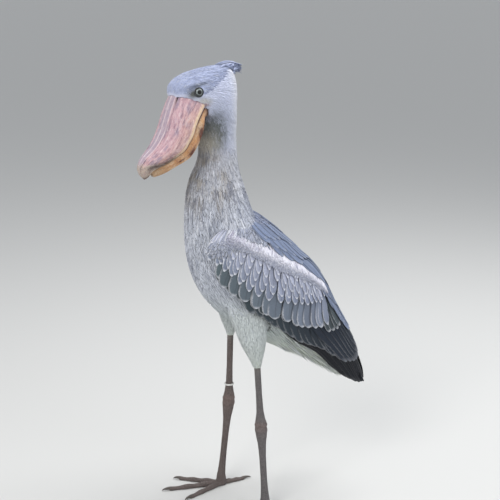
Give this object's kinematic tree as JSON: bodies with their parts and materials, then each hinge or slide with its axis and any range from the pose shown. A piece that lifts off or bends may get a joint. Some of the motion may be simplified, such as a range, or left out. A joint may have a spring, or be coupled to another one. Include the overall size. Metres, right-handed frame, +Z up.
{
  "type": "shoebill figure",
  "caption": "Life-size standing shoebill with a large hooked bill, folded wings, a small crest and long bare legs, head turned to its left.",
  "frame": {"origin": "on the floor, at the centre of the object's bounding box seen from above", "axes": "+Z up, -Y the way the body faces, +X the bird's left side"},
  "size_m": [0.3322, 0.6573, 1.1875],
  "materials": {
    "feathers_grey": "soft matte feathers",
    "feathers_slate": "matte flight feathers with pale fringes",
    "bill": "worn horn with streaks and blotches",
    "eyes": "wet gloss",
    "leg_skin": "scaly matte skin",
    "ring": "dull plain ring"
  },
  "bodies": {
    "root": {"torso": "feathers_grey", "neck": "feathers_grey", "head": "feathers_grey", "crest": "feathers_grey", "bill_upper": "bill", "bill_lower": "bill", "eye_left": "eyes", "eye_right": "eyes", "wing_left": "feathers_slate", "wing_right": "feathers_slate", "tail": "feathers_slate", "thigh_left": "feathers_grey", "thigh_right": "feathers_grey", "leg_left": "leg_skin", "leg_right": "leg_skin", "foot_left": "leg_skin", "foot_right": "leg_skin", "leg_ring": "ring"}
  },
  "joints": []
}
